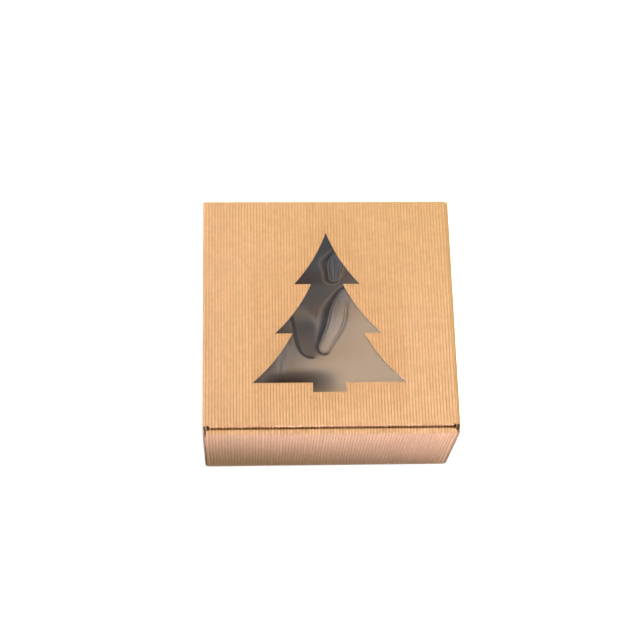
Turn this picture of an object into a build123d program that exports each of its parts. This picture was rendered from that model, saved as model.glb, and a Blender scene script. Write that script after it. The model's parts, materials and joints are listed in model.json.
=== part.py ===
from build123d import *
import math
import os

os.makedirs("parts", exist_ok=True)

# A gift box for sweets, die-cut from one sheet of open-flute kraft board and folded up.
# The board is two papers: a smooth liner, which faces into the box, and a fluted sheet
# glued to its outer side. The flutes run front to back over the base and the lid, and
# carry on over the folds. Each panel between two creases is a pair of solids, one for each
# paper. The front wall and the side walls are rolled over at the top and locked into slots
# in the base by tabs. The lid has a fir-tree window with a clear film glued behind it, and
# a tuck flap that goes down inside the front wall.
# Millimetres, X to the right, Y to the back, Z up, origin at the bottom centre.

# Overall size, over the flutes
box_width = 200.0
box_depth = 197.5
box_height = 95.0

# The board
liner_thickness = 0.25
medium_thickness = 0.2
flute_height = 0.95
flute_pitch = 2.4
crest_share = 0.22

# Rolled-over walls, corner flaps and lock tabs
front_gap = 3.0
front_roll_cut = 3.5
flap_play = 0.2
flap_length = 45.0
flap_end_play = 0.6
corner_relief = 5.0
tab_length = 24.0
tab_play = 0.15
tab_place_share = 0.26

# The lid and its tuck flap
lid_step = 2.0
lid_front_gap = 0.8
hinge_margin = 1.2
tuck_height = 28.0
tuck_lean = 4.0
tuck_side_play = 1.0
tuck_corner = 7.0

# The tree window: tiers from the top down, then the trunk
tier_heights = (44.95, 41.75, 40.85)
tier_half_widths = (26.65, 42.5, 60.75)
notch_half_widths = (12.85, 28.45)
trunk_height = 7.75
trunk_half_width = 13.1
tier_sag_share = 0.05
chords_per_tier = 10

# The film behind the window
film_thickness = 0.2
film_margin = 12.0
glue_thickness = 0.15
glue_width = 3.0
glue_inset = 1.5

# How far a cutting solid runs past what it cuts
overrun = 1.0

# Sizes that follow from those above
board = liner_thickness + flute_height
half_width = box_width / 2
half_depth = box_depth / 2
rolled_top = box_height - board
side_gap = board + 2 * flap_play
front_inner_face = -half_depth + board + front_gap
side_inner_face = half_width - board - side_gap
cavity_half_width = side_inner_face - board
flap_outer_face = half_width - board - flap_play
side_roll_half_length = half_depth - corner_relief
front_roll_depth = 2 * board + front_gap
lid_left = -half_width
lid_right = half_width - lid_step
lid_front = -half_depth + front_roll_depth + lid_front_gap
hinge_y = half_depth - board + liner_thickness
tuck_pivot_y = lid_front + board
# The rolled-over front wall is cut in at its ends to clear the rolled side walls
front_inner_half_width = flap_outer_face - front_roll_cut
# The window lies in the middle of the lid, from its front edge to the back of the box
window_x = (lid_left + lid_right) / 2
window_y = (lid_front + half_depth) / 2
window_half_height = (sum(tier_heights) + trunk_height) / 2


def flute_profile(low, high):
    """The fluted sheet seen end on, from below low to past high, with a crest at zero."""
    rise = flute_height - medium_thickness
    half_flat = crest_share * flute_pitch / 2
    run = flute_pitch / 2 - 2 * half_flat
    shift = medium_thickness / 2 * math.tan(math.atan2(rise, run) / 2)
    flats = ((0, board, shift), (flute_pitch / 2, liner_thickness + medium_thickness, -shift))
    outer, inner = [], []
    for turn in range(math.floor(low / flute_pitch), math.ceil(high / flute_pitch) + 1):
        for offset, outer_z, grown in flats:
            middle = turn * flute_pitch + offset
            for side in (-1, 1):
                outer.append((middle + side * (half_flat + grown), outer_z))
                inner.append((middle + side * (half_flat - grown), outer_z - medium_thickness))
    return outer + inner[::-1]


def fluted_sheet(low, high, start, end):
    """A sheet whose flutes run along local Y from start to end, side by side along local X."""
    points = [Vector(x, end, z) for x, z in flute_profile(low, high)]
    return extrude(make_face(Polyline(*points, close=True)), amount=end - start, dir=(0, -1, 0))


def cut_out(points):
    """A block of board with this outline, running past both faces of the board."""
    face = make_face(Polyline(*points, close=True))
    return Pos(0, 0, -overrun) * extrude(face, amount=board + 2 * overrun, dir=(0, 0, 1))


def rectangle(low_x, high_x, low_y, high_y):
    """The four corners of a rectangle, in order."""
    return [(low_x, low_y), (high_x, low_y), (high_x, high_y), (low_x, high_y)]


def mitred(block, edge, direction):
    """The block with the edge at this place cut at 45 degrees, for a fold to the next panel.

    edge is where the outer face ends, and direction points out of the panel there."""
    x, y = direction
    plane = Plane(origin=(edge * abs(x), edge * abs(y), board), z_dir=(x, y, -1))
    return split(block, bisect_by=plane, keep=Keep.BOTTOM)


def plies(block):
    """The liner and the fluted sheet of one panel, cut from a block of board."""
    box = block.bounding_box()
    sides = (box.min.X - overrun, box.max.X + overrun, box.min.Y - overrun, box.max.Y + overrun)
    slab = extrude(make_face(Polyline(*rectangle(*sides), close=True)), amount=liner_thickness, dir=(0, 0, 1))
    return block & slab, block & fluted_sheet(*sides)


nodes = {}


def add_panel(name, plane, block, flute_end=None):
    """Put both papers of a panel in place. flute_end stops the fluted sheet short of a crease."""
    liner, fluting = plies(block)
    if flute_end is not None:
        end = Plane(origin=(0, flute_end, 0), z_dir=(0, 1, 0))
        fluting = split(fluting, bisect_by=end, keep=Keep.BOTTOM)
    nodes[name + "_liner"] = plane * liner
    nodes[name + "_fluting"] = plane * fluting


def tab_centres(length):
    """The middles of the two lock tabs along a panel of this length."""
    return (-tab_place_share * length, tab_place_share * length)


def with_tabs(low_x, high_x, low_y, high_y):
    """The outline of an inner wall that stands on the base, with two tabs down through it."""
    points = [(high_x, high_y), (low_x, high_y), (low_x, low_y)]
    for middle in tab_centres(high_x - low_x):
        start, end = middle - tab_length / 2, middle + tab_length / 2
        points += [(start, low_y), (start, low_y - board), (end, low_y - board), (end, low_y)]
    return points + [(high_x, low_y)]


def slot(along_x, middle, near, far):
    """A slot in the base for a tab that is centred at middle and lies between near and far."""
    half = tab_length / 2 + tab_play
    low, high = min(near, far) - tab_play, max(near, far) + tab_play
    if along_x:
        return cut_out(rectangle(middle - half, middle + half, low, high))
    return cut_out(rectangle(low, high, middle - half, middle + half))


def tree_outline():
    """The fir tree: three tiers, each side a hollow parabola, over a short trunk."""
    starts = [0.0] + list(notch_half_widths)
    y = window_y + window_half_height
    half = []
    for start, height, end in zip(starts, tier_heights, tier_half_widths):
        width = end - start
        for step in range(chords_per_tier + 1):
            share = step / chords_per_tier
            sag = 4 * tier_sag_share * share * (1 - share)
            half.append((start + share * width - sag * height, y - share * height - sag * width))
        y -= height
    half += [(trunk_half_width, y), (trunk_half_width, y - trunk_height)]
    right = [(window_x + x, y) for x, y in half]
    left = [(window_x - x, y) for x, y in half[:0:-1]]
    return right + left


def make_base():
    """The floor of the box, flutes down, with a slot for each lock tab."""
    plane = Plane(origin=(0, 0, board), x_dir=(1, 0, 0), z_dir=(0, 0, -1))
    block = cut_out(rectangle(-half_width, half_width, -half_depth, half_depth))
    for sign in (-1, 1):
        block = mitred(block, sign * half_width, (sign, 0))
        block = mitred(block, sign * half_depth, (0, sign))
        for middle in tab_centres(2 * side_roll_half_length):
            block -= slot(False, middle, sign * side_inner_face, sign * cavity_half_width)
    for middle in tab_centres(2 * front_inner_half_width):
        block -= slot(True, middle, -front_inner_face, -front_inner_face - board)
    add_panel("base", plane, block)


def make_front_wall():
    """The front wall: its outer panel, the narrow top that rolls over, and the inner panel."""
    outer = Plane(origin=(0, -half_depth + board, 0), x_dir=(1, 0, 0), z_dir=(0, -1, 0))
    block = cut_out(rectangle(-flap_outer_face, flap_outer_face, 0, rolled_top))
    block = mitred(mitred(block, 0, (0, -1)), rolled_top, (0, 1))
    for sign in (-1, 1):
        block = mitred(block, sign * flap_outer_face, (sign, 0))
    add_panel("front_wall", outer, block)

    top = Plane(origin=(0, -half_depth, rolled_top - board), x_dir=(1, 0, 0), z_dir=(0, 0, 1))
    outline = [
        (-flap_outer_face, 0),
        (flap_outer_face, 0),
        (front_inner_half_width, front_roll_depth),
        (-front_inner_half_width, front_roll_depth),
    ]
    block = mitred(mitred(cut_out(outline), 0, (0, -1)), front_roll_depth, (0, 1))
    add_panel("front_roll", top, block)

    inner = Plane(origin=(0, front_inner_face, 0), x_dir=(-1, 0, 0), z_dir=(0, 1, 0))
    block = cut_out(with_tabs(-front_inner_half_width, front_inner_half_width, board, rolled_top))
    add_panel("front_inner", inner, mitred(block, rolled_top, (0, 1)))


def make_back_wall():
    """The back wall, one board thick, up to the crease that the lid turns on."""
    plane = Plane(origin=(0, half_depth - board, 0), x_dir=(-1, 0, 0), z_dir=(0, 1, 0))
    block = cut_out(rectangle(-flap_outer_face, flap_outer_face, 0, rolled_top))
    block = mitred(block, 0, (0, -1))
    for sign in (-1, 1):
        block = mitred(block, sign * flap_outer_face, (sign, 0))
    add_panel("back_wall", plane, block, flute_end=rolled_top - hinge_margin)


def make_side_wall(side, sign):
    """A side wall: its outer panel, the top that rolls over, and the inner panel with tabs.

    Its flutes lie level, because they run front to back over the whole box."""
    outer = Plane(origin=(sign * (half_width - board), 0, 0), x_dir=(0, 0, 1), z_dir=(sign, 0, 0))
    relieved = rolled_top - corner_relief
    outline = [
        (0, -half_depth),
        (relieved, -half_depth),
        (rolled_top, -side_roll_half_length),
        (rolled_top, side_roll_half_length),
        (relieved, half_depth),
        (0, half_depth),
    ]
    block = mitred(mitred(cut_out(outline), 0, (-1, 0)), rolled_top, (1, 0))
    add_panel(side + "_wall", outer, block)

    top = Plane(origin=(sign * half_width, 0, rolled_top - board), x_dir=(sign, 0, 0), z_dir=(0, 0, 1))
    roll_depth = 2 * board + side_gap
    block = cut_out(rectangle(-roll_depth, 0, -side_roll_half_length, side_roll_half_length))
    block = mitred(mitred(block, 0, (1, 0)), -roll_depth, (-1, 0))
    add_panel(side + "_roll", top, block)

    inner = Plane(origin=(sign * side_inner_face, 0, 0), x_dir=(0, 0, 1), z_dir=(-sign, 0, 0))
    outline = with_tabs(-side_roll_half_length, side_roll_half_length, board, rolled_top)
    turned = [(y, x) for x, y in outline]
    add_panel(side + "_inner", inner, mitred(cut_out(turned), rolled_top, (1, 0)))


def make_corner_flap(end, end_sign, side, side_sign):
    """A flap that folds back from the front or back wall and stands inside the side wall."""
    inner_face = side_sign * (flap_outer_face - board)
    plane = Plane(origin=(inner_face, 0, 0), x_dir=(0, side_sign, 0), z_dir=(side_sign, 0, 0))
    way = side_sign * end_sign
    crease, free_end = way * half_depth, way * (half_depth - flap_length)
    low, high = board + flap_end_play, rolled_top - board - flap_end_play
    outline = [
        (crease, low),
        (crease, high),
        (free_end, high - corner_relief),
        (free_end, low),
    ]
    add_panel(end + "_" + side + "_flap", plane, mitred(cut_out(outline), crease, (way, 0)))


def make_lid():
    """The lid: the panel with the tree window, which reaches over the top of the tuck flap."""
    plane = Plane(origin=(0, 0, rolled_top), x_dir=(1, 0, 0), z_dir=(0, 0, 1))
    block = cut_out(rectangle(lid_left, lid_right, lid_front, hinge_y))
    block -= cut_out(tree_outline())
    add_panel("lid", plane, block, flute_end=hinge_y - hinge_margin)


def make_tuck_flap():
    """The flap at the lid's front edge, which leans in a little as it goes down."""
    along_y, along_z = math.sin(math.radians(tuck_lean)), math.cos(math.radians(tuck_lean))
    plane = Plane(origin=(0, tuck_pivot_y, rolled_top), x_dir=(1, 0, 0), z_dir=(0, -along_z, -along_y))
    half = cavity_half_width - tuck_side_play
    outline = [
        (-half, 0),
        (-half, -tuck_height + tuck_corner),
        (-half + tuck_corner, -tuck_height),
        (half - tuck_corner, -tuck_height),
        (half, -tuck_height + tuck_corner),
        (half, 0),
    ]
    add_panel("tuck_flap", plane, cut_out(outline))


def make_window_film():
    """The clear film behind the window and the frame of glue that holds it to the liner."""
    half_x = max(tier_half_widths) + film_margin
    half_y = window_half_height + film_margin
    middle = Pos(window_x, window_y, rolled_top - glue_thickness / 2)
    outside = Box(2 * (half_x - glue_inset), 2 * (half_y - glue_inset), glue_thickness)
    inset = glue_inset + glue_width
    inside = Box(2 * (half_x - inset), 2 * (half_y - inset), glue_thickness + 2 * overrun)
    nodes["film_glue"] = middle * (outside - inside)
    film_z = rolled_top - glue_thickness - film_thickness / 2
    nodes["window_film"] = Pos(window_x, window_y, film_z) * Box(2 * half_x, 2 * half_y, film_thickness)


make_base()
make_front_wall()
make_back_wall()
for side, side_sign in (("left", -1), ("right", 1)):
    make_side_wall(side, side_sign)
    for end, end_sign in (("front", -1), ("back", 1)):
        make_corner_flap(end, end_sign, side, side_sign)
make_lid()
make_tuck_flap()
make_window_film()

for name, shape in nodes.items():
    export_step(shape, f"parts/{name}.step")
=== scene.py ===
"""A folding gift box of open-flute kraft board with a tree window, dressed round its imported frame."""
import json
import math

import bmesh
import bpy
import numpy as np
from mathutils import Matrix, Vector


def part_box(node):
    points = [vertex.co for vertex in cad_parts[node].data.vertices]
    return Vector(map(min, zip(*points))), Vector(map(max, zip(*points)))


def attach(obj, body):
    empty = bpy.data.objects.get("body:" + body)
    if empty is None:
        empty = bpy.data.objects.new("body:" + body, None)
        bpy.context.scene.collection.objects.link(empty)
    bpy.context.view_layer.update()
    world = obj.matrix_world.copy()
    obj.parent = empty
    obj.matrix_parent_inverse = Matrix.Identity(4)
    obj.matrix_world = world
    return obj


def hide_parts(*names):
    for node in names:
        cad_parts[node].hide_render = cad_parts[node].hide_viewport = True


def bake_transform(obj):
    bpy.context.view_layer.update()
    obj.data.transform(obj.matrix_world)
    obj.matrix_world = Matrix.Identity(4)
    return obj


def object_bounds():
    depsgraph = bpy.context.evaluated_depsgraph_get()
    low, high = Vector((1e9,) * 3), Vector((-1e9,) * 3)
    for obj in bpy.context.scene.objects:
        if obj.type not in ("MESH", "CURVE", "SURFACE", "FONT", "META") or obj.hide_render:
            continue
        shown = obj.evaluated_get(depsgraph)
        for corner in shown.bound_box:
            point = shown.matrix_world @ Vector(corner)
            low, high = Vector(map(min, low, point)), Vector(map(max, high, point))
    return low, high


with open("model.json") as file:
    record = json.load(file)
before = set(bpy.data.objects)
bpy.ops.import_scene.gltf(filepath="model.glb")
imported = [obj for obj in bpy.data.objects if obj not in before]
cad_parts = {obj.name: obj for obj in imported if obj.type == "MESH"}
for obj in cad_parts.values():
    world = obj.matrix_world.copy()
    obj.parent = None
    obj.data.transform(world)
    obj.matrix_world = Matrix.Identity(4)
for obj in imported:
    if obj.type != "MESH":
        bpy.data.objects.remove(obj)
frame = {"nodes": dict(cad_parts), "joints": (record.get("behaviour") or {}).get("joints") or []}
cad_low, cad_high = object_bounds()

bl_info = {
    "name": "Flute Board Gift Box",
    "version": (1, 0, 0),
    "blender": (4, 5, 0),
    "location": "View3D > Sidebar > Gift Box",
    "description": "Builds a folding box of open-flute kraft board with a window lid",
    "category": "Add Mesh",
}

# Directions in the box's frame: across the flutes of the lid and front, back along them, and up.
ACROSS = Vector((1, 0, 0))
BACK = Vector((0, 1, 0))
UP = Vector((0, 0, 1))
QUARTER = math.pi / 2
SMOOTH_ANGLE = math.radians(50)
SIDES = (("left", -1), ("right", 1))


# What a user would change.
def length_setting(name, description, default, **limits):
    """A length in metres, shown to a hundredth of a millimetre."""
    return bpy.props.FloatProperty(
        name=name, description=description, default=default, precision=5, unit="LENGTH", **limits)


def lengths_setting(name, description, default):
    """One length for each entry of the default."""
    return bpy.props.FloatVectorProperty(
        name=name, description=description, default=default, size=len(default), precision=5, unit="LENGTH")


def share_setting(name, description, default):
    """A share between 0 and 1."""
    return bpy.props.FloatProperty(name=name, description=description, default=default, subtype="FACTOR")


def count_setting(name, description, default, low, high):
    """A whole number between two limits."""
    return bpy.props.IntProperty(name=name, description=description, default=default, min=low, max=high)


def colour_setting(name, description, *default):
    """An opaque colour, linear."""
    return bpy.props.FloatVectorProperty(
        name=name, description=description, default=(*default, 1), size=4, subtype="COLOR")


def power_setting(name, description, default):
    """The power of a lamp in watts."""
    return bpy.props.FloatProperty(name=name, description=description, default=default, unit="POWER")


class BoardSettings(bpy.types.PropertyGroup):
    """The open-flute board."""

    flute_pitch: length_setting("Flute pitch", "Distance from one rib to the next", 0.0024, min=0.001)
    medium: length_setting("Fluted paper", "Thickness of the fluted paper", 0.0002, min=0.00005)
    fold_radius: length_setting("Fold radius", "Radius of a fold, measured at the ribs", 0.0015, min=0.0012)
    uneven: length_setting(
        "Uneven ribs", "How much lower than the highest rib the lowest one is", 0.00009, min=0)
    wander: length_setting("Wander", "How far a rib lies from its even place", 0.00007, min=0)
    facets: count_setting("Facets per flute", "Flat strips that make up one flute", 12, 6, 24)
    fold_steps: count_setting("Steps per fold", "Flat strips that make up a quarter turn", 7, 3, 16)


class PanelSettings(bpy.types.PropertyGroup):
    """Cuts and tabs of the panels."""

    tab_length: length_setting("Tab length", "Length of a lock tab", 0.024)
    tab_play: length_setting("Tab play", "Room round a tab in its slot", 0.00015)
    tab_place_share: share_setting(
        "Tab place", "Distance of a tab from the middle as a share of the panel's length", 0.26)
    relief: length_setting("Corner relief", "Cut at the free corners of walls and flaps", 0.005)
    tuck_corner: length_setting("Tuck corner", "Cut at the corners of the tuck flap", 0.007)
    tuck_length: length_setting("Tuck length", "Length of the tuck flap below its crease", 0.028)
    tuck_lean: bpy.props.FloatProperty(
        name="Tuck lean", description="How far the tuck flap leans in", default=math.radians(4),
        unit="ROTATION")


class WindowSettings(bpy.types.PropertyGroup):
    """The fir tree cut in the lid."""

    centre: lengths_setting("Centre", "Middle of the window on the lid", (-0.001, 0.0031))
    tier_heights: lengths_setting(
        "Tier heights", "Heights of the three tiers from the top", (0.04495, 0.04175, 0.04085))
    tier_half_widths: lengths_setting(
        "Tier half widths", "Half widths of the tiers at their lower edges", (0.02665, 0.0425, 0.06075))
    notch_half_widths: lengths_setting(
        "Notch half widths", "Half widths where a tier starts under the last one", (0, 0.01285, 0.02845))
    trunk_height: length_setting("Trunk height", "Height of the trunk", 0.00775)
    trunk_half_width: length_setting("Trunk half width", "Half the width of the trunk", 0.0131)
    sag_share: share_setting(
        "Hollow", "How hollow a tier's slanted edge is, as a share of its length", 0.05)
    chords: count_setting("Chords", "Straight lines that make up a tier's slanted edge", 10, 4, 40)


class PaperSettings(bpy.types.PropertyGroup):
    """Colours of the papers."""

    crest: colour_setting("Rib", "Fluted paper on the ribs", 0.86, 0.53, 0.28)
    # Darker than the rib colour partly from dust and partly as painted shade in the troughs.
    trough: colour_setting("Trough", "Fluted paper between the ribs", 0.74, 0.41, 0.19)
    liner: colour_setting("Liner", "Liner paper inside the box", 0.55, 0.34, 0.19)
    fleck: colour_setting("Flecks", "Dark fibres in both papers", 0.3, 0.15, 0.06)
    # Pale as a fresh cut edge and, beyond that, as a painted highlight where the cut edges catch the light.
    cut: colour_setting("Cut edge", "Fresh edge of a cut paper", 0.95, 0.78, 0.58)


class FilmSettings(bpy.types.PropertyGroup):
    """The film behind the window and its glue."""

    facets: count_setting("Film facets", "Strips of the film along each side", 180, 20, 200)
    clear: colour_setting("Clear", "Film where it has the least haze", 0.045, 0.045, 0.05)
    hazy: colour_setting("Hazy", "Film where it has the most haze", 0.075, 0.1, 0.125)
    # A painted reflection: pale streaks on the swells and on one flat patch.
    painted_glint: colour_setting("Streaks", "Pale scuffs on the swells", 0.17, 0.2, 0.24)
    # Painted dark reflection where the film turns down round a swell and inside the sunken dent.
    rim: colour_setting("Rim", "Film that turns down round a swell", 0.012, 0.01, 0.012)
    # A dark reflection painted along the low crease across the window's foot.
    crease: colour_setting("Crease", "Low crease across the window's foot", 0.05, 0.032, 0.026)
    wet_glue: colour_setting("Thin glue", "Glue where it is thin", 0.72, 0.66, 0.52)
    dry_glue: colour_setting("Thick glue", "Glue where it is thick", 0.86, 0.82, 0.72)


class StageSettings(bpy.types.PropertyGroup):
    """Camera, lamps and floor."""

    place: bpy.props.FloatVectorProperty(
        name="Camera place", description="Where the camera stands", size=3,
        default=(-0.0687, -0.41625, 1.2047), precision=4, unit="LENGTH")
    lens: bpy.props.FloatProperty(
        name="Lens", description="Focal length in millimetres", default=84.23, unit="CAMERA")
    sky: share_setting("Sky", "Strength of the light from all round", 0.3)
    floor_glow: share_setting("Floor glow", "How far the floor is lit up to white", 0.85)
    key_power: power_setting("Key lamp", "Power of the large lamp overhead", 5.25)
    fill_power: power_setting("Fill lamp", "Power of the lamp in front", 0.2)
    side_power: power_setting("Side lamps", "Power of each lamp beside the box", 1.2)


# Modelling helpers.
def settings_of(kind):
    """The user's settings: those of the board, panels, window, papers, film or stage."""
    return getattr(bpy.context.scene, f"gift_box_{kind}")


def deselect():
    """Deselects all objects, because an operator acts on whatever is selected."""
    bpy.ops.object.select_all(action="DESELECT")


def pick(piece, test):
    """Selects in edit mode just the vertices, and what lies between them, that pass the test."""
    mesh = bmesh.from_edit_mesh(piece.data)
    for vertex in mesh.verts:
        vertex.select_set(test(vertex.co))
    mesh.select_flush_mode()
    bmesh.update_edit_mesh(piece.data)


def start_line(board, node, points, rib_shares, along):
    """A new piece, an open line through the points: one row of a grid, in edit mode and selected."""
    deselect()
    bpy.ops.mesh.primitive_grid_add(x_subdivisions=len(points) - 1, y_subdivisions=1, calc_uvs=False)
    piece = bpy.context.object
    piece.name = piece.data.name = f"{node}_{board.paper}_sheet"
    bpy.ops.object.mode_set(mode="EDIT")
    bpy.ops.mesh.select_mode(type="VERT")
    pick(piece, lambda place: place.y > 0)
    bpy.ops.mesh.delete(type="VERT")
    bpy.ops.object.mode_set(mode="OBJECT")
    set_places(piece, np.array(points))
    set_attribute(piece, "rib", rib_shares)
    set_attribute(piece, "flute", along / board.pitch)
    bpy.ops.object.mode_set(mode="EDIT")
    bpy.ops.mesh.select_all(action="SELECT")
    return piece


def set_attribute(piece, name, values):
    """Stores one number for each vertex, for the material to read."""
    attribute = piece.data.attributes.get(name) or piece.data.attributes.new(name, "FLOAT", "POINT")
    attribute.data.foreach_set("value", np.array(values, np.float32))


def push(vector):
    """Extrudes the selected edges along a vector."""
    bpy.ops.mesh.extrude_region_move(TRANSFORM_OT_translate={"value": tuple(vector)})


def slice_off(point, outward):
    """Cuts the open sheet in edit mode by a plane and drops what lies beyond it."""
    bpy.ops.mesh.select_all(action="SELECT")
    bpy.ops.mesh.bisect(
        plane_co=tuple(point), plane_no=tuple(Vector(outward).normalized()), clear_outer=True)


def apply_modifier(piece, kind, **settings):
    """Adds a modifier with these settings and applies it."""
    bpy.context.view_layer.objects.active = piece
    modifier = piece.modifiers.new(kind, kind)
    for key, value in settings.items():
        setattr(modifier, key, value)
    bpy.ops.object.modifier_apply(modifier=modifier.name)


def turn_outward():
    """Turns the faces of the piece that is in edit mode outward and leaves edit mode."""
    bpy.ops.mesh.select_all(action="SELECT")
    bpy.ops.mesh.normals_make_consistent(inside=False)
    bpy.ops.object.mode_set(mode="OBJECT")


def thicken(piece, thickness):
    """Gives an open sheet its paper's thickness, half to each side, and closes its edges."""
    turn_outward()
    apply_modifier(piece, "SOLIDIFY", thickness=thickness, offset=0, use_even_offset=True)
    places = vertex_places(piece)
    set_places(piece, np.clip(places, np.array(cad_low), np.array(cad_high)))


def vertex_places(piece):
    """All vertex places of a piece, one row each."""
    places = np.zeros(3 * len(piece.data.vertices), np.float32)
    piece.data.vertices.foreach_get("co", places)
    return places.reshape(-1, 3)


def set_places(piece, places):
    """Moves all vertices of a piece to these places, one row each."""
    piece.data.vertices.foreach_set("co", places.astype(np.float32).ravel())
    piece.data.update()


def cut_through(piece, cutter):
    """Takes the cutter's solid out of the piece, deletes the cutter and marks the upright cut faces."""
    apply_modifier(piece, "BOOLEAN", operation="DIFFERENCE", solver="EXACT", object=cutter)
    bpy.data.objects.remove(cutter)
    nearly_upright = 0.3
    mark_cuts(piece, lambda normals: np.abs(normals[:, 2]) < nearly_upright)


def mark_cuts(piece, test):
    """Marks the faces whose normals pass the test as cut edges of the paper, for the material to read."""
    normals = np.zeros(3 * len(piece.data.polygons), np.float32)
    piece.data.polygons.foreach_get("normal", normals)
    cut = piece.data.attributes.new("cut", "FLOAT", "FACE")
    cut.data.foreach_set("value", test(normals.reshape(-1, 3)).astype(np.float32))


def finish_piece(piece, material, body, slot, *nodes):
    """Smooth shading and finish of a piece, with its body if it has one, and the nodes it replaces."""
    deselect()
    piece.select_set(True)
    bpy.context.view_layer.objects.active = piece
    bpy.ops.object.shade_smooth_by_angle(angle=SMOOTH_ANGLE)
    piece.data.materials.clear()
    piece.data.materials.append(material)
    if body:
        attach(piece, body)
    if nodes:
        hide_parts(*nodes)


# The board, followed along its line of ribs.
class Board:
    """Sizes of the board, read from the frame and the settings, and which paper is being built."""

    def __init__(self):
        settings = settings_of("board")
        liner_low, liner_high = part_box("base_liner")
        self.thickness = liner_high.z
        self.liner = liner_high.z - liner_low.z
        self.flute_height = liner_low.z
        self.pitch = settings.flute_pitch
        self.medium = settings.medium
        self.radius = settings.fold_radius
        self.step = self.pitch / settings.facets
        self.fold_steps = settings.fold_steps
        # The ribs are counted from the middle of the base, out over it and up the walls.
        longest_walk, seed = 3 * cad_high.x, 7
        reach = round(longest_walk / self.pitch)
        random = np.random.default_rng(seed)
        self.places = self.pitch * np.arange(-reach, reach + 1)
        self.drops = settings.uneven * random.random(len(self.places)) ** 2
        self.shifts = settings.wander * random.uniform(-1, 1, len(self.places))

    def rib_shares(self, along):
        """1 on a rib's top, 0 in a trough, for lengths along the board from the middle of the base."""
        moved = along + np.interp(along, self.places, self.shifts)
        return 0.5 + 0.5 * np.cos(math.tau * moved / self.pitch)

    def choose(self, paper):
        """Makes one of the two papers, fluting or liner, the one being built."""
        self.paper, self.fluted = paper, paper == "fluting"
        self.sheet = self.medium if self.fluted else self.liner

    def profile(self, along):
        """How deep below the line of ribs the middle of the paper lies, and its shares of a rib."""
        if not self.fluted:
            return np.full(len(along), self.flute_height + self.liner / 2), np.zeros(len(along))
        shares = self.rib_shares(along)
        swing = self.flute_height - self.medium
        drops = np.interp(along, self.places, self.drops)
        return self.medium / 2 + swing * (1 - shares) + drops * shares, shares


class Walk:
    """A walk along the line of ribs: where it is, which way it heads, and which way the liner lies."""

    def __init__(self, board, place, heading, inward, along=0.0):
        self.board = board
        self.place = Vector(place)
        self.heading = Vector(heading)
        self.inward = Vector(inward)
        self.along = along

    def copy(self):
        """A walk of its own from the same place."""
        return Walk(self.board, self.place, self.heading, self.inward, self.along)

    def run(self, length):
        """Goes straight on."""
        self.place = self.place + self.heading * length
        self.along += length
        return self

    def fold(self, angle):
        """Turns towards the liner about a centre one fold radius in."""
        centre, axis = self.centre_and_axis()
        turn = Matrix.Rotation(angle, 3, axis)
        self.place = centre + turn @ (self.place - centre)
        self.heading = turn @ self.heading
        self.inward = turn @ self.inward
        self.along += angle * (self.board.radius - self.board.flute_height)
        return self

    def centre_and_axis(self):
        """What a fold turns about."""
        return self.place + self.inward * self.board.radius, self.heading.cross(self.inward)


def columns(board, low, high, marks):
    """Places across a sheet: its edges, the marks and, on the fluted paper, one for each facet."""
    places = np.concatenate([[low, high], marks])
    if not board.fluted:
        return np.unique(places)
    inside = np.arange(math.ceil(low / board.step), math.floor(high / board.step) + 1) * board.step
    decimals, tiny = 7, 1e-9
    ordered = np.unique(np.round(np.concatenate([inside, places]), decimals))
    return ordered[(ordered >= low - tiny) & (ordered <= high + tiny)]


def across_sheet(node, walk, moves, low, high, marks=()):
    """A sheet whose flutes run the way of the walk: its profile lies across it, pushed and spun along."""
    board = walk.board
    places = columns(board, low, high, marks)
    depths, shares = board.profile(places)
    points = [walk.place + ACROSS * x + walk.inward * d for x, d in zip(places, depths)]
    piece = start_line(board, node, points, shares, places)
    for kind, amount in moves:
        if kind == "run":
            push(walk.heading * amount)
            walk.run(amount)
            continue
        centre, axis = walk.centre_and_axis()
        steps = max(2, round(board.fold_steps * amount / QUARTER))
        bpy.ops.mesh.spin(steps=steps, angle=amount, center=tuple(centre), axis=tuple(-axis))
        walk.fold(amount)
    return piece


def along_sheet(node, walk, moves, across, spans):
    """A sheet whose flutes lie across the walk: its profile is the walk itself, pushed across in spans."""
    board = walk.board
    stops = [walk.copy()]
    for kind, amount in moves:
        if kind == "run":
            count = math.ceil(amount / board.step) if board.fluted else 1
            stops += [walk.run(amount / count).copy() for _ in range(count)]
        else:
            count = 2 * board.fold_steps
            stops += [walk.fold(amount / count).copy() for _ in range(count)]
    along = np.array([stop.along for stop in stops])
    depths, shares = board.profile(along)
    points = [stop.place + stop.inward * d + across * spans[0] for stop, d in zip(stops, depths)]
    piece = start_line(board, node, points, shares, along)
    for start, end in zip(spans, spans[1:]):
        push(across * (end - start))
    return piece


def tab_spans(length):
    """Where the two lock tabs of an inner panel start and end, from its middle."""
    panels = settings_of("panels")
    middle, half = panels.tab_place_share * length, panels.tab_length / 2
    return [(side * middle - half, side * middle + half) for side in (-1, 1)]


def push_tabs(piece, spans, axis, foot):
    """Pushes the lower edge, which stands on the base, down through it wherever a tab is."""
    tiny = foot * 1e-3
    bpy.ops.mesh.select_mode(type="EDGE")
    for start, end in spans:
        mesh = bmesh.from_edit_mesh(piece.data)
        bpy.ops.mesh.select_all(action="DESELECT")
        for edge in mesh.edges:
            ends = [vertex.co for vertex in edge.verts]
            inside = all(start - tiny <= co[axis] <= end + tiny for co in ends)
            edge.select_set(inside and all(abs(co.z - foot) < tiny for co in ends))
        bmesh.update_edit_mesh(piece.data)
        push(UP * -foot)


# Node helpers and materials.
def new_material(name):
    """A material of that name and its node tree, emptied."""
    material = bpy.data.materials.new(name)
    material.use_nodes = True
    material.node_tree.nodes.clear()
    return material, material.node_tree


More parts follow.
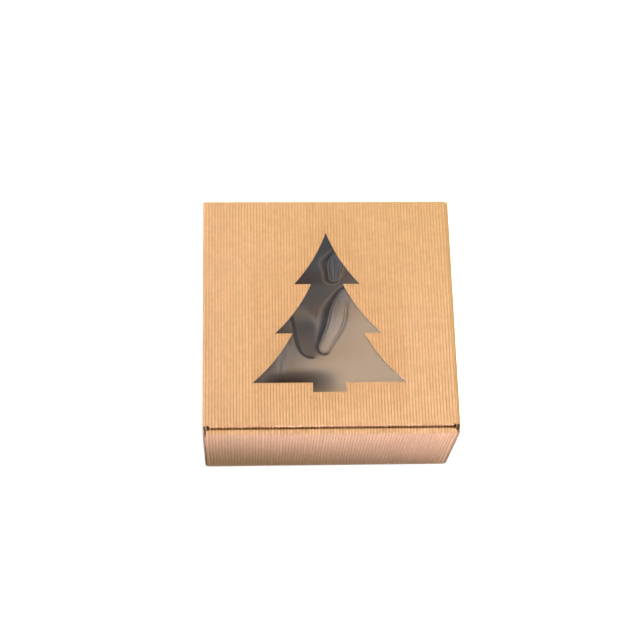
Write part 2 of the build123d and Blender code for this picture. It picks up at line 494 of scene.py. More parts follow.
def add_node(tree, kind, inputs=None, **settings):
    """A node with these settings, its inputs linked to sockets or set to values."""
    node = tree.nodes.new(kind)
    for key, value in settings.items():
        setattr(node, key, value)
    for key, value in (inputs or {}).items():
        if isinstance(value, bpy.types.NodeSocket):
            tree.links.new(value, node.inputs[key])
        else:
            node.inputs[key].default_value = value
    return node


def output(tree, kind, inputs=None, **settings):
    """The first output of a node with these inputs and settings."""
    return add_node(tree, kind, inputs, **settings).outputs[0]


def show(tree, kind, inputs, target="ShaderNodeOutputMaterial"):
    """Makes the last shader of a tree and links it to the tree's output."""
    add_node(tree, target, {0: output(tree, kind, inputs)})


def attribute(tree, name):
    """The value that a mesh attribute has at each point."""
    return add_node(tree, "ShaderNodeAttribute", attribute_name=name).outputs["Fac"]


def object_place(tree):
    """Where each point lies on its object."""
    return add_node(tree, "ShaderNodeTexCoord").outputs["Object"]


def stretched(tree, place, scale, turn=0.0):
    """Places scaled by a number for each axis and turned about Z."""
    inputs = {"Vector": place, "Scale": scale, "Rotation": (0, 0, turn)}
    return output(tree, "ShaderNodeMapping", inputs)


def math_node(tree, operation, first, second=0.0):
    """The result of a Math node."""
    return output(tree, "ShaderNodeMath", {0: first, 1: second}, operation=operation)


def product(tree, first, *others):
    """All the values multiplied."""
    for value in others:
        first = math_node(tree, "MULTIPLY", first, value)
    return first


def highest(tree, first, *others):
    """The highest of the values."""
    for value in others:
        first = math_node(tree, "MAXIMUM", first, value)
    return first


def raised(tree, value, base, more):
    """The base, and as much more as the value says."""
    inputs = {0: value, 1: more, 2: base}
    return output(tree, "ShaderNodeMath", inputs, operation="MULTIPLY_ADD")


def scaled(tree, vector, factor):
    """A vector or colour times a factor."""
    inputs = {0: vector, "Scale": factor}
    return output(tree, "ShaderNodeVectorMath", inputs, operation="SCALE")


def mixed(tree, factor, first, second):
    """The result of a colour Mix node."""
    return add_node(tree, "ShaderNodeMix", {0: factor, 6: first, 7: second}, data_type="RGBA").outputs[2]


def ramped(tree, value, low, high):
    """A value carried smoothly from 0 at low to 1 at high."""
    inputs = {"Value": value, "From Min": low, "From Max": high}
    return output(tree, "ShaderNodeMapRange", inputs, interpolation_type="SMOOTHSTEP")


def spread(tree, value, low, high):
    """A value from 0 to 1 carried evenly to low and high."""
    return output(tree, "ShaderNodeMapRange", {"Value": value, "To Min": low, "To Max": high})


def band(tree, value, low, rise, fall, high):
    """1 between rise and fall, falling off smoothly to 0 at low and high."""
    falling = math_node(tree, "SUBTRACT", 1.0, ramped(tree, value, fall, high))
    return product(tree, ramped(tree, value, low, rise), falling)


def noise(tree, place, scale, detail):
    """The value of a Noise texture."""
    inputs = {"Vector": place, "Scale": scale, "Detail": detail}
    return output(tree, "ShaderNodeTexNoise", inputs)


def new_group(name, inputs, outputs):
    """An empty node group with float inputs of these defaults and named outputs."""
    tree = bpy.data.node_groups.new(name, "ShaderNodeTree")
    for socket, default in inputs.items():
        made = tree.interface.new_socket(socket, in_out="INPUT", socket_type="NodeSocketFloat")
        made.default_value = default
    for socket in outputs:
        tree.interface.new_socket(socket, in_out="OUTPUT", socket_type="NodeSocketFloat")
    return tree, tree.nodes.new("NodeGroupInput").outputs, tree.nodes.new("NodeGroupOutput").inputs


def paper_group():
    """Clouds, long fibres, dark flecks and tooth that both kraft papers show."""
    name = "kraft_paper_fibres"
    if name in bpy.data.node_groups:
        return bpy.data.node_groups[name]
    inputs = {"Cloud Scale": 60, "Fleck Share": 0.1}
    tree, given, result = new_group(name, inputs, ["Clouds", "Fibres", "Flecks", "Height"])
    place = object_place(tree)
    lengthwise = noise(tree, stretched(tree, place, (2600, 300, 900)), scale=1, detail=1)
    sideways = noise(tree, stretched(tree, place, (420, 2400, 2400)), scale=1, detail=1)
    fibres = product(tree, math_node(tree, "ADD", lengthwise, sideways), 0.5)
    cells = {"Vector": stretched(tree, place, (900, 420, 700)), "Scale": 1.0}
    cells = add_node(tree, "ShaderNodeTexVoronoi", cells).outputs
    drawn = output(tree, "ShaderNodeSeparateColor", {0: cells["Color"]})
    few = math_node(tree, "LESS_THAN", drawn, given["Fleck Share"])
    spots = math_node(tree, "SUBTRACT", 1.0, ramped(tree, cells["Distance"], low=0.12, high=0.3))
    results = {
        "Clouds": noise(tree, place, given["Cloud Scale"], detail=3),
        "Fibres": fibres,
        "Flecks": product(tree, few, spots),
        "Height": math_node(tree, "ADD", fibres, noise(tree, place, scale=5200, detail=2)),
    }
    for socket, value in results.items():
        tree.links.new(value, result[socket])
    return tree


def darkened(colour, share):
    """A colour times a share, still opaque."""
    return tuple(share * value for value in colour[:3]) + (1,)


def paper_material(name, high_colour, low_colour, ribs, roughness, cloud_scale, fleck_share):
    """A matt kraft paper between two colours, with fibres, clouds and flecks."""
    if name in bpy.data.materials:
        return bpy.data.materials[name]
    papers = settings_of("papers")
    material, tree = new_material(name)
    inputs = {"Cloud Scale": cloud_scale, "Fleck Share": fleck_share}
    paper = add_node(tree, "ShaderNodeGroup", inputs, node_tree=paper_group()).outputs
    clouds = ramped(tree, paper["Clouds"], low=0.3, high=0.7)
    fibres = ramped(tree, paper["Fibres"], low=0.34, high=0.66)
    height = paper["Height"]
    if ribs:
        share = attribute(tree, "rib")
    else:
        waves = math_node(tree, "COSINE", product(tree, attribute(tree, "flute"), math.tau))
        share = ramped(tree, waves, low=-1, high=1)
        height = math_node(tree, "ADD", height, product(tree, share, 1.5))
    # On the fluting the colour darkens between the ribs, partly from dust and partly as painted shade in
    # the troughs.
    ground = mixed(tree, share, low_colour, high_colour)
    ground = mixed(tree, product(tree, fibres, 0.35), ground, darkened(high_colour, 0.86))
    ground = scaled(tree, ground, spread(tree, clouds, low=0.95, high=1.04))
    colour = mixed(tree, product(tree, paper["Flecks"], 0.6), ground, tuple(papers.fleck))
    # Cut faces take the pale cut colour: partly a fresh edge, partly a painted highlight.
    colour = mixed(tree, attribute(tree, "cut"), colour, tuple(papers.cut))
    bump = output(tree, "ShaderNodeBump", {"Height": height, "Strength": 0.5, "Distance": 0.00003})
    roughness = spread(tree, fibres, low=roughness - 0.06, high=roughness + 0.06)
    show(tree, "ShaderNodeBsdfPrincipled", {
        "Base Color": colour, "Roughness": roughness, "Normal": bump, "Specular IOR Level": 0.5})
    return material


def fluting_material():
    """The outer paper: pale on the ribs and darker between them, partly from dust and partly as painted
    shade in the troughs.
    """
    papers = settings_of("papers")
    return paper_material(
        "fluted_kraft_paper", tuple(papers.crest), tuple(papers.trough), ribs=True, roughness=0.62,
        cloud_scale=240, fleck_share=0.03)


def liner_material():
    """The inner paper, smoother and browner, with the ribs behind it just showing."""
    liner = tuple(settings_of("papers").liner)
    return paper_material(
        "liner_kraft_paper", liner, darkened(liner, 0.85), ribs=False, roughness=0.6,
        cloud_scale=160, fleck_share=0.06)


def finish_sheet(board, piece, body="box", cutter=None):
    """Thickens a sheet that is in edit mode, cuts it by the solid that cutter makes, and finishes it.

    It stands for its panel's node, unless it is given no body.
    """
    thicken(piece, board.sheet)
    if cutter:
        cut_through(piece, cutter(board))
        set_attribute(piece, "flute", vertex_places(piece)[:, 0] / board.pitch)
    material = fluting_material() if board.fluted else liner_material()
    nodes = [piece.name.removesuffix("_sheet")] if body else []
    finish_piece(piece, material, body, f"kraft_{board.paper}", *nodes)


# The pieces, one operator for each kind.
def both_papers(build):
    """Runs a panel's builder for the fluted paper and for the liner."""
    board = Board()
    for paper in ("fluting", "liner"):
        board.choose(paper)
        build(board)
    return {"FINISHED"}


class GIFTBOX_OT_base(bpy.types.Operator):
    """Add the base with its six slots"""

    bl_idname = "giftbox.base"
    bl_label = "Base"

    def execute(self, context):
        return both_papers(self.build)

    def build(self, board):
        depth, half = cad_high.y - board.radius, cad_high.x - board.radius
        walk = Walk(board, BACK * depth, -BACK, UP)
        piece = across_sheet("base", walk, [("run", 2 * depth)], -half, half)
        finish_sheet(board, piece, cutter=self.slots)

    def slots(self, board):
        """A cutter of six upright blocks, where the tabs of the inner walls pass."""
        panels = settings_of("panels")
        front_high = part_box("front_inner_fluting")[1]
        right_low, right_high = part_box("right_inner_fluting")
        play = 2 * panels.tab_play
        length, width = panels.tab_length + play, board.thickness + play
        front = front_high.y - board.thickness / 2
        side = right_low.x + board.thickness / 2
        blocks = [((a + b) / 2, front, length, width) for a, b in tab_spans(2 * front_high.x)]
        for a, b in tab_spans(2 * right_high.y):
            blocks += [(sign * side, (a + b) / 2, width, length) for sign in (-1, 1)]
        deselect()
        made, height = [], 4 * board.thickness
        for x, y, x_size, y_size in blocks:
            bpy.ops.mesh.primitive_cube_add(size=1, location=(x, y, 0), scale=(x_size, y_size, height))
            made.append(bpy.context.object)
        for block in made:
            block.select_set(True)
        bpy.ops.object.join()
        bpy.ops.object.transform_apply(location=True, rotation=True, scale=True)
        return bpy.context.object


def wall_start(board, outward):
    """A walk that starts where the base's edge begins to turn up into a wall."""
    reach = abs(cad_high.dot(outward)) - board.radius
    return Walk(board, outward * reach, outward, UP, along=reach)


class GIFTBOX_OT_front_wall(bpy.types.Operator):
    """Add the front wall, its rolled top and its inner panel with two tabs"""

    bl_idname = "giftbox.front_wall"
    bl_label = "Front wall"

    def execute(self, context):
        return both_papers(self.build)

    def build(self, board):
        wall_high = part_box("front_wall_fluting")[1]
        roll_low, roll_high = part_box("front_roll_fluting")
        inner_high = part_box("front_inner_fluting")[1]
        radius = board.radius
        walk = wall_start(board, -BACK)
        half, moves = wall_high.x - radius, [("fold", QUARTER), ("run", wall_high.z - 2 * radius)]
        piece = across_sheet("front_wall", walk, moves, -half, half)
        finish_sheet(board, piece)

        half, flat = roll_high.x, roll_high.y - roll_low.y - 2 * radius
        moves = [("fold", QUARTER), ("run", flat), ("fold", QUARTER)]
        piece = across_sheet("front_roll", walk, moves, -half, half)
        cut, depth = half - inner_high.x, roll_high.y - roll_low.y
        for side in (-1, 1):
            slice_off((side * half, roll_low.y, 0), (side * depth, cut, 0))
        finish_sheet(board, piece)

        half, foot = inner_high.x, board.thickness
        tabs = tab_spans(2 * half)
        marks = [x for tab in tabs for x in tab]
        piece = across_sheet("front_inner", walk, [("run", walk.place.z - foot)], -half, half, marks)
        push_tabs(piece, tabs, 0, foot)
        finish_sheet(board, piece)


class GIFTBOX_OT_back_wall(bpy.types.Operator):
    """Add the back wall"""

    bl_idname = "giftbox.back_wall"
    bl_label = "Back wall"

    def execute(self, context):
        return both_papers(self.build)

    def build(self, board):
        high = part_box("back_wall_fluting")[1]
        walk = wall_start(board, BACK)
        half = high.x - board.radius
        moves = [("fold", QUARTER), ("run", high.z - board.radius)]
        piece = across_sheet("back_wall", walk, moves, -half, half)
        finish_sheet(board, piece)


class GIFTBOX_OT_side_walls(bpy.types.Operator):
    """Add the left and right walls, their rolled tops and their inner panels with tabs"""

    bl_idname = "giftbox.side_walls"
    bl_label = "Side walls"

    def execute(self, context):
        for side, sign in SIDES:
            both_papers(lambda board: self.build(board, side, sign))
        return {"FINISHED"}

    def build(self, board, side, sign):
        wall_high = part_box("right_wall_liner")[1]
        roll_low, roll_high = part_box("right_roll_fluting")
        radius = board.radius
        relief = settings_of("panels").relief
        walk = wall_start(board, ACROSS * sign)
        front = cad_low.y + board.thickness
        moves = [("fold", QUARTER), ("run", roll_high.z - 2 * radius)]
        piece = along_sheet(f"{side}_wall", walk, moves, BACK, [front, cad_high.y])
        slice_off((0, front, wall_high.z - relief), (0, -1, 1))
        finish_sheet(board, piece)
        end_on = 0.6
        mark_cuts(piece, lambda normals: np.abs(normals[:, 1]) > end_on)

        half, flat = roll_high.y, roll_high.x - roll_low.x - 2 * radius
        moves = [("fold", QUARTER), ("run", flat), ("fold", QUARTER)]
        # The roll stops short of the lid's bent front edge and of the back wall.
        spans = [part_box("lid_fluting")[0].y + radius, cad_high.y - 1.5 * board.thickness]
        piece = along_sheet(f"{side}_roll", walk, moves, BACK, spans)
        finish_sheet(board, piece)

        tabs, foot = tab_spans(2 * half), board.thickness
        spans = [-half, *(y for tab in tabs for y in tab), half]
        piece = along_sheet(f"{side}_inner", walk, [("run", walk.place.z - foot)], BACK, spans)
        push_tabs(piece, tabs, 1, foot)
        finish_sheet(board, piece)


class GIFTBOX_OT_corner_flaps(bpy.types.Operator):
    """Add the four flaps that fold in from the front and back walls"""

    bl_idname = "giftbox.corner_flaps"
    bl_label = "Corner flaps"

    def execute(self, context):
        for end, end_sign in (("front", -1), ("back", 1)):
            for side, sign in SIDES:
                both_papers(lambda board: self.build(board, f"{end}_{side}_flap", end_sign, sign))
        return {"FINISHED"}

    def build(self, board, node, end_sign, sign):
        low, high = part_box(f"{node}_fluting")
        relief = settings_of("panels").relief
        start = max(abs(low.x), abs(high.x)) - board.radius
        length = high.y - low.y - board.radius
        place = (sign * start, end_sign * cad_high.y, 0)
        walk = Walk(board, place, ACROSS * sign, BACK * -end_sign, along=start)
        top, flap = high.z - relief, high.y - low.y
        piece = along_sheet(node, walk, [("fold", QUARTER), ("run", length)], UP, [low.z, top])
        slice_off((0, end_sign * cad_high.y, top), (0, -end_sign * relief, flap))
        finish_sheet(board, piece)


class GIFTBOX_OT_lid(bpy.types.Operator):
    """Add the lid with the tree window cut through it"""

    bl_idname = "giftbox.lid"
    bl_label = "Lid"

    def execute(self, context):
        return both_papers(self.build)

    def build(self, board):
        low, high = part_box("lid_fluting")
        walk = Walk(board, (0, high.y, high.z), -BACK, -UP)
        moves = [("run", high.y - low.y - board.radius)]
        piece = across_sheet("lid", walk, moves, low.x, high.x)
        finish_sheet(board, piece, "lid", cutter=self.tree)

    def tree(self, board):
        """The window's cutter: a flat fir tree below the lid, pushed up through it."""
        outline = tree_outline()
        low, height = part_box("lid_fluting")[0].z - board.thickness, 4 * board.thickness
        deselect()
        bpy.ops.mesh.primitive_circle_add(vertices=len(outline), fill_type="NGON", calc_uvs=False)
        tree = bpy.context.object
        set_places(tree, np.array([(x, y, low) for x, y in outline]))
        bpy.ops.object.mode_set(mode="EDIT")
        bpy.ops.mesh.select_all(action="SELECT")
        push(UP * height)
        turn_outward()
        return tree


def tree_outline():
    """The fir tree: three tiers, each side a hollow parabola, over a short trunk."""
    window = settings_of("window")
    middle, y = window.centre
    y += (sum(window.tier_heights) + window.trunk_height) / 2
    half = []
    for start, height, end in zip(window.notch_half_widths, window.tier_heights, window.tier_half_widths):
        width = end - start
        for step in range(window.chords + 1):
            share = step / window.chords
            sag = 4 * window.sag_share * share * (1 - share)
            half.append((start + share * width - sag * height, y - share * height - sag * width))
        y -= height
    half += [(window.trunk_half_width, y), (window.trunk_half_width, y - window.trunk_height)]
    right = [(middle + x, y) for x, y in half]
    left = [(middle - x, y) for x, y in half[:0:-1]]
    return right + left


class GIFTBOX_OT_creases(bpy.types.Operator):
    """Add the bands of board that bend at the lid's two creases"""

    bl_idname = "giftbox.creases"
    bl_label = "Creases"

    def execute(self, context):
        both_papers(self.hinge_fold)
        return both_papers(self.front_fold)

    def hinge_fold(self, board):
        """The band from the back wall to the lid."""
        wall_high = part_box("back_wall_fluting")[1]
        lid_low, lid_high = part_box("lid_fluting")
        start = Vector((0, wall_high.y, wall_high.z))
        end = Vector((0, lid_high.y, lid_high.z))
        walk = Walk(board, start, UP, -BACK)
        rise = end.z - start.z - board.radius
        back = start.y - end.y - board.radius
        moves = [("run", rise), ("fold", QUARTER), ("run", back)]
        piece = across_sheet("hinge_fold", walk, moves, lid_low.x, lid_high.x)
        finish_sheet(board, piece, body=None)
        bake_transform(piece)

    def front_fold(self, board):
        """The band from the lid to the tuck flap."""
        low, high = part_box("lid_fluting")
        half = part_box("tuck_flap_fluting")[1].x
        start = Vector((0, low.y + board.radius, high.z))
        walk = Walk(board, start, -BACK, -UP)
        moves = [("fold", QUARTER + settings_of("panels").tuck_lean)]
        piece = across_sheet("front_fold", walk, moves, -half, half)
        finish_sheet(board, piece, body=None)
        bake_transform(piece)


class GIFTBOX_OT_tuck_flap(bpy.types.Operator):
    """Add the tuck flap inside the front wall"""

    bl_idname = "giftbox.tuck_flap"
    bl_label = "Tuck flap"

    def execute(self, context):
        return both_papers(self.build)

    def build(self, board):
        panels = settings_of("panels")
        low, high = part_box("lid_fluting")
        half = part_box("tuck_flap_fluting")[1].x
        walk = Walk(board, (0, low.y + board.radius, high.z), -BACK, -UP).fold(QUARTER + panels.tuck_lean)
        crease = next(joint for joint in frame["joints"] if joint["name"] == "tuck_fold")
        gone = (Vector(crease["pos_m"]) - walk.place).dot(walk.heading)
        length = panels.tuck_length + gone
        piece = across_sheet("tuck_flap", walk, [("run", length)], -half, half)
        corner = panels.tuck_corner
        for side in (-1, 1):
            edge = walk.place - walk.heading * corner + ACROSS * side * half
            slice_off(edge, ACROSS * side + walk.heading)
        finish_sheet(board, piece, "tuck_flap")


# Film and glue.
class Dent:
    """A leaf-shaped low swell in the film, from start to end as shares of the film's half sizes."""

    # Past the rim, distances grow faster to the right of the spine than to its left.
    growth, lopsided = 1.2, 0.7

    def __init__(self, start, end, radius, tip, height=0.0):
        self.start, self.end = np.array(start), np.array(end)
        self.radius, self.tip, self.height = radius, tip, height

    def distances(self, places, half_size):
        """How far places lie from the dent's spine and how far right, in its radii, less at its ends."""
        start, end = self.start * half_size, self.end * half_size
        spine = end - start
        shares = np.clip((places - start) @ spine / (spine @ spine), 0, 1)
        radii = self.radius * (self.tip + (1 - self.tip) * np.sin(math.pi * shares))
        offsets = (places - start - shares[:, None] * spine) / radii[:, None]
        distance, right = np.linalg.norm(offsets, axis=1), offsets[:, 0]
        growth = self.growth + self.lopsided * right / np.maximum(distance, 1)
        return np.minimum(distance, 1) + np.maximum(distance - 1, 0) * growth, right


# Two swells that stand up, a wide one that sinks, and a streaky patch of painted glint that has no height.
DENTS = (
    Dent(start=(0.07, 0.38), end=(0.15, 0.60), radius=0.0074, tip=0.7, height=0.00004),
    Dent(start=(-0.03, -0.375), end=(0.19, 0.17), radius=0.0074, tip=0.66, height=0.00004),
    Dent(start=(-0.19, -0.40), end=(-0.30, -0.02), radius=0.0095, tip=0.85, height=-0.00003),
)
PAINTED_GLINT_PATCH = Dent(start=(-0.42, -0.33), end=(-0.53, -0.58), radius=0.0075, tip=0.8)

# Where a painted dark rim is darkest, in a dent's radii, and a distance past every rim.
RIM = 1.04
FAR = 3.0


def smooth(values, low, high):
    """0 up to low, 1 from high on, and a smooth step between them."""
    shares = np.clip((values - low) / (high - low), 0, 1)
    return shares * shares * (3 - 2 * shares)


def hill(values, low, rise, fall, high):
    """A smooth step up from low to rise, and one down from fall to high."""
    return smooth(values, low, rise) * (1 - smooth(values, fall, high))


def film_waves(places):
    """Height of the wide waves all over the film, in metres, as are their lengths."""
    across, back = places[:, 0], places[:, 1]
    wave_height, slant, slant_back, cross, cross_back = 0.0001, 0.021, 0.034, 0.06, 0.027
    slanting = wave_height * np.sin(across / slant + back / slant_back)
    return slanting * np.cos(back / cross_back - across / cross)


def wobbled(places):
    """Places moved to and fro, so that the dents' rims aren't even."""
    reach, wavelength, starts = 0.0011, 0.0062, (0.4, 1.9)
    return places + reach * np.sin(places[:, ::-1] / wavelength + starts)


def sunken_middle(distance, right, back):
    """How much painted dark reflection dims the middle of the sunken dent, softer at its right and fading
    at its top.
    """
    softer = 0.3 * smooth(right, 0, 1)
    inside = 1 - smooth(distance, 0.6 - softer, 1.1 + softer)
    foot, more = 0.35, 0.2
    return inside * (foot + more * smooth(back, -0.03, -0.01)) * (1 - smooth(back, -0.016, 0.006))


def sunken_rim(distance, right):
    """Distances that give the sunken dent a wide painted dark rim inside, a sharp one outside and none at
    its right.
    """
    outside, away = 6, 2
    distance = RIM + np.maximum(RIM - distance, 0) + outside * np.maximum(distance - RIM, 0)
    return distance + away * smooth(right, 0.25, 0.95)


def low_valley_and_painted_band(places):
    """Depth of the valley across the window's lower left, and the crease mask along it, where a dark
    reflection is painted.
    """
    across, back = places[:, 0], places[:, 1]
    place, slope, depth = 0.0535, 0.05, 0.0008
    along = back + place - slope * across
    fade = 1 - smooth(across, -0.04, 0.015)
    valley = hill(along, low=-0.026, rise=-0.016, fall=-0.017, high=0.007)
    crease = hill(along, low=-0.016, rise=-0.006, fall=-0.004, high=0.009)
    return depth * valley * fade, crease * fade * smooth(across, -0.062, -0.036)


def film_swell(places, half_size):
    """Height of the film over its flat level, and the masks that its material follows."""
    height = film_waves(places)
    bent = wobbled(places)
    nearest, faint, sunken = np.full(len(places), FAR), np.zeros(len(places)), np.zeros(len(places))
    # Painted glint: a pale streaky reflection on the flat patch and inside the swells.
    painted_glint_mask = 1 - smooth(PAINTED_GLINT_PATCH.distances(bent, half_size)[0], 0.4, 1.3)
    for dent in DENTS:
        distance, right = dent.distances(bent, half_size)
        inside = 1 - smooth(distance, 0.55, 1.3)
        height = height + dent.height * inside
        fainter = smooth(right, 0.2, 0.9)
        if dent.height > 0:
            painted_glint_mask = np.maximum(painted_glint_mask, inside)
        else:
            sunken = sunken_middle(distance, right, places[:, 1])
            distance = sunken_rim(distance, right)
            fainter = 0
        faint = np.where(distance < nearest, fainter, faint)
        nearest = np.minimum(nearest, distance)
    # The valley is real height; along it the crease mask carries a painted dark reflection.
    depth, crease = low_valley_and_painted_band(places)
    held = np.min(1 - np.abs(places) / half_size, axis=1)
    masks = {"dent": nearest, "faint": faint, "painted_glint_mask": painted_glint_mask, "sunken": sunken, "crease": crease}
    return (height - depth) * smooth(held, 0.04, 0.16), masks


def film_material():
    """Clear film, a little smoky, with painted dark reflection where it turns down at a dent's rim, in a
    thin line inside the rim, in the sunken dent's middle and along the low crease, and painted pale
    reflection on the swells.
    """
    film = settings_of("film")
    material, tree = new_material("smoky_clear_film")
    distance, painted_glint_mask, crease = (attribute(tree, name) for name in ("dent", "painted_glint_mask", "crease"))
    faint, sunken, place = attribute(tree, "faint"), attribute(tree, "sunken"), object_place(tree)
    clouds = noise(tree, stretched(tree, place, (16, 60, 1), turn=0.35), scale=1, detail=3)
    haze = ramped(tree, clouds, low=0.36, high=0.66)
    # Streaky noise that breaks up the painted reflection on the swells.
    glint_streak_noise = noise(tree, stretched(tree, place, (520, 40, 1)), scale=1, detail=2)
    streaks = ramped(tree, glint_streak_noise, low=0.38, high=0.66)
    patchy = spread(tree, noise(tree, place, scale=70, detail=2), low=0.4, high=1.0)

    # Painted dark reflection: the rim round each dent, a thin line inside it and the sunken dent's middle.
    clear = math_node(tree, "SUBTRACT", 1.0, product(tree, faint, 0.6))
    rim = product(tree, band(tree, distance, 0.84, 1.0, 1.08, 1.6), patchy, clear)
    line = product(tree, band(tree, distance, 0.66, 0.71, 0.73, 0.79), 0.75)
    dark = highest(tree, rim, line, sunken)
    # Painted reflection: pale rings inside the raised dents and pale streaks on the swells.
    painted_reflection_rings = highest(
        tree, band(tree, distance, 0.77, 0.82, 0.84, 0.9), band(tree, distance, 0.5, 0.56, 0.58, 0.64))
    pale = highest(tree, product(tree, painted_reflection_rings, patchy, 0.7), product(tree, painted_glint_mask, streaks))

    colour = mixed(tree, haze, tuple(film.clear), tuple(film.hazy))
    for mask, finish in ((pale, film.painted_glint), (dark, film.rim), (crease, film.crease)):
        colour = mixed(tree, mask, colour, tuple(finish))
    dim = highest(tree, dark, crease)
    show(tree, "ShaderNodeBsdfPrincipled", {
        "Base Color": colour, "Roughness": raised(tree, dim, base=0.13, more=0.8), "IOR": 1.45,
        "Alpha": raised(tree, dim, base=0.42, more=0.33), "Specular Tint": (1, 0.66, 0.56, 1)})
    return material


def glue_material():
    """Dried milky glue with small bubbles."""
    film = settings_of("film")
    material, tree = new_material("milky_glue")
    place = object_place(tree)
    voronoi = add_node(tree, "ShaderNodeTexVoronoi", {"Vector": place, "Scale": 700.0})
    bubbles = ramped(tree, voronoi.outputs["Distance"], low=0.15, high=0.4)
    streaks = ramped(tree, noise(tree, place, scale=260, detail=3), low=0.35, high=0.65)
    bump = output(tree, "ShaderNodeBump", {"Height": streaks, "Strength": 0.4, "Distance": 0.00004})
    show(tree, "ShaderNodeBsdfPrincipled", {
        "Base Color": mixed(tree, streaks, tuple(film.wet_glue), tuple(film.dry_glue)), "Roughness": 0.35,
        "Alpha": spread(tree, bubbles, low=0.3, high=0.6), "Normal": bump})
    return material


class GIFTBOX_OT_window_film(bpy.types.Operator):
    """Add the wavy clear film behind the window and finish its glue"""

    bl_idname = "giftbox.window_film"
    bl_label = "Window film"

    def execute(self, context):
        low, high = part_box("window_film")
        middle, half = np.array((low + high) / 2), np.array((high - low) / 2)
        count = settings_of("film").facets
        deselect()
        bpy.ops.mesh.primitive_grid_add(x_subdivisions=count, y_subdivisions=count, size=2, calc_uvs=False)
        film = bpy.context.object
        film.name = film.data.name = "window_film_sheet"
        places = vertex_places(film) * half
        places[:, 2], masks = film_swell(places[:, :2], half[:2])
        set_places(film, places + middle)
        for name, values in masks.items():
            set_attribute(film, name, values)
        apply_modifier(film, "SOLIDIFY", thickness=high.z - low.z, offset=0)
        finish_piece(film, film_material(), "lid", "clear_film", "window_film")
        glue = frame["nodes"]["film_glue"]
        glue.data.materials.clear()
        glue.data.materials.append(glue_material())
        return {"FINISHED"}


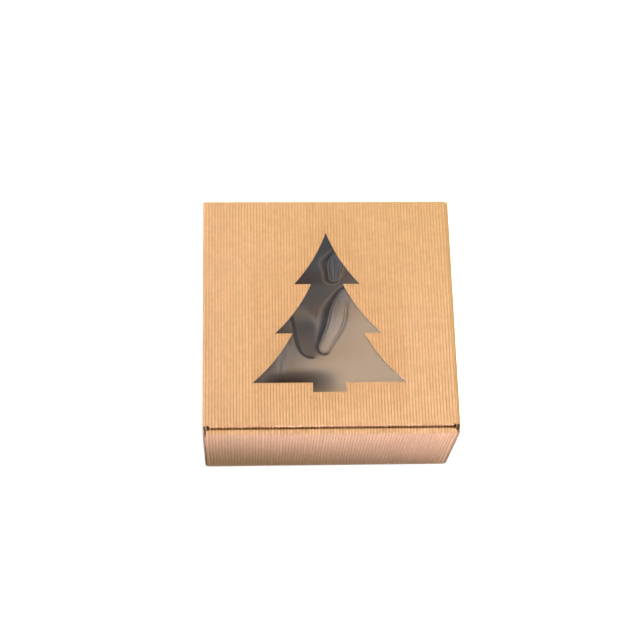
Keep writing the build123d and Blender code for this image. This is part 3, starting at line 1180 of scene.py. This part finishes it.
# The stage.
class GIFTBOX_OT_stage(bpy.types.Operator):
    """Add the floor, the light and the camera"""

    bl_idname = "giftbox.stage"
    bl_label = "Stage"

    def execute(self, context):
        stage = settings_of("stage")
        context.scene.view_settings.view_transform = "Standard"
        self.floor(stage)
        self.world(stage)
        self.lamps(stage)
        self.camera(stage)
        return {"FINISHED"}

    def seen(self, tree):
        """1 for the rays that show the background: from the camera, a glossy surface or through one."""
        rays = add_node(tree, "ShaderNodeLightPath").outputs
        return highest(tree, rays["Is Camera Ray"], rays["Is Glossy Ray"], rays["Is Transmission Ray"])

    def floor(self, stage):
        """White paper with a painted shadow, black under the box, and that hardly lights the box from
        below.
        """
        deselect()
        bpy.ops.mesh.primitive_plane_add(size=8)
        floor = bpy.context.object
        floor.name = "floor"
        material, tree = new_material("floor_paper")
        seen = self.seen(tree)
        dim = output(tree, "ShaderNodeBsdfDiffuse", {"Color": (0.05, 0.045, 0.04, 1)})
        place = {0: object_place(tree)}
        place = output(tree, "ShaderNodeVectorMath", place, operation="ABSOLUTE")
        axes = add_node(tree, "ShaderNodeSeparateXYZ", {0: place}).outputs
        # Painted shadow: the floor's colour and glow fade to black under the box, over a 2 mm edge.
        shade = 0.002
        beyond = [ramped(tree, axes[axis], cad_high[axis] - shade, cad_high[axis]) for axis in (0, 1)]
        outside_painted_shadow = highest(tree, *beyond)
        pale = output(tree, "ShaderNodeBsdfDiffuse", {"Color": product(tree, outside_painted_shadow, 0.9)})
        glow = {"Color": outside_painted_shadow, "Strength": stage.floor_glow}
        glow = output(tree, "ShaderNodeEmission", glow)
        bright = output(tree, "ShaderNodeAddShader", {0: pale, 1: glow})
        show(tree, "ShaderNodeMixShader", {0: seen, 1: dim, 2: bright})
        floor.data.materials.append(material)

    def world(self, stage):
        """A warm sky that shows as plain white."""
        world = bpy.data.worlds.new("studio")
        bpy.context.scene.world = world
        world.use_nodes = True
        tree = world.node_tree
        tree.nodes.clear()
        seen = self.seen(tree)
        warm = {"Color": (1, 0.88, 0.7, 1), "Strength": stage.sky}
        lit = output(tree, "ShaderNodeBackground", warm)
        white = output(tree, "ShaderNodeBackground", {"Color": (1, 1, 1, 1), "Strength": 1.0})
        show(tree, "ShaderNodeMixShader", {0: seen, 1: lit, 2: white}, "ShaderNodeOutputWorld")

    def lamps(self, stage):
        """A lamp high over the box, whose image is in the film, one for the front and one at each side."""
        self.lamp(
            "key_lamp", place=(0.162, 0.249, 1.0), turn=(0, 0, math.radians(-40.8)), size=(0.26, 0.26),
            spread=180, power=stage.key_power, colour=(0.957, 1, 0.74))
        place, aim = Vector((-0.33, -0.6, 0.33)), Vector((-0.07, cad_low.y, 0.122))
        self.lamp(
            "front_lamp", place=place, turn=(aim - place).to_track_quat("-Z", "Y").to_euler(),
            size=(0.4, 0.12), spread=10, power=stage.fill_power, colour=(0.66, 0.66, 1))
        for name, side in (("left_lamp", -1), ("right_lamp", 1)):
            self.lamp(
                name, place=(side * 0.8, cad_low.y, 0.08), turn=(QUARTER, 0, side * QUARTER),
                size=(0.4, 0.14), spread=180, power=stage.side_power, colour=(1, 0.96, 0.94))

    def lamp(self, name, place, turn, size, spread, power, colour):
        """A rectangular lamp that shines down its own Z, its beam spread over this many degrees."""
        bpy.ops.object.light_add(type="AREA", location=place, rotation=turn)
        lamp = bpy.context.object
        lamp.name = name
        lamp.data.shape = "RECTANGLE"
        lamp.data.size, lamp.data.size_y = size
        lamp.data.spread = math.radians(spread)
        lamp.data.energy = power
        lamp.data.color = colour
        lamp.visible_camera = False

    def camera(self, stage):
        """The camera at the photograph's angle, turned by its own right, up and back directions."""
        bpy.ops.object.camera_add(location=stage.place)
        camera = bpy.context.object
        camera.name = "camera"
        right = Vector((0.99864, -0.02402, 0.04629))
        up = Vector((0.00642, 0.93753, 0.34784))
        back = Vector((-0.05175, -0.34708, 0.93641))
        camera.rotation_euler = Matrix((right, up, back)).transposed().to_euler()
        camera.data.lens = stage.lens
        bpy.context.scene.camera = camera


class GIFTBOX_PT_build(bpy.types.Panel):
    """The box's settings and the buttons that build it"""

    bl_idname = "GIFTBOX_PT_build"
    bl_label = "Gift Box"
    bl_space_type = "VIEW_3D"
    bl_region_type = "UI"
    bl_category = "Gift Box"

    def draw(self, context):
        """One button for each operator, in the order in which main calls them."""
        for operator in OPERATORS:
            self.layout.operator(operator.bl_idname)


SETTINGS = {
    "gift_box_board": BoardSettings,
    "gift_box_panels": PanelSettings,
    "gift_box_window": WindowSettings,
    "gift_box_papers": PaperSettings,
    "gift_box_film": FilmSettings,
    "gift_box_stage": StageSettings,
}
OPERATORS = (
    GIFTBOX_OT_base,
    GIFTBOX_OT_front_wall,
    GIFTBOX_OT_back_wall,
    GIFTBOX_OT_side_walls,
    GIFTBOX_OT_corner_flaps,
    GIFTBOX_OT_lid,
    GIFTBOX_OT_creases,
    GIFTBOX_OT_tuck_flap,
    GIFTBOX_OT_window_film,
    GIFTBOX_OT_stage,
)


def register():
    """Makes the settings, the operators and the panel known to Blender."""
    for name, settings in SETTINGS.items():
        bpy.utils.register_class(settings)
        setattr(bpy.types.Scene, name, bpy.props.PointerProperty(type=settings))
    for operator in OPERATORS:
        bpy.utils.register_class(operator)
    bpy.utils.register_class(GIFTBOX_PT_build)


def unregister():
    """Takes back what register did."""
    bpy.utils.unregister_class(GIFTBOX_PT_build)
    for operator in reversed(OPERATORS):
        bpy.utils.unregister_class(operator)
    for name, settings in SETTINGS.items():
        delattr(bpy.types.Scene, name)
        bpy.utils.unregister_class(settings)


def main():
    """Builds the box and its stage."""
    register()
    bpy.ops.giftbox.base()
    bpy.ops.giftbox.front_wall()
    bpy.ops.giftbox.back_wall()
    bpy.ops.giftbox.side_walls()
    bpy.ops.giftbox.corner_flaps()
    bpy.ops.giftbox.lid()
    bpy.ops.giftbox.creases()
    bpy.ops.giftbox.tuck_flap()
    bpy.ops.giftbox.window_film()
    bpy.ops.giftbox.stage()


if __name__ == "__main__":
    main()
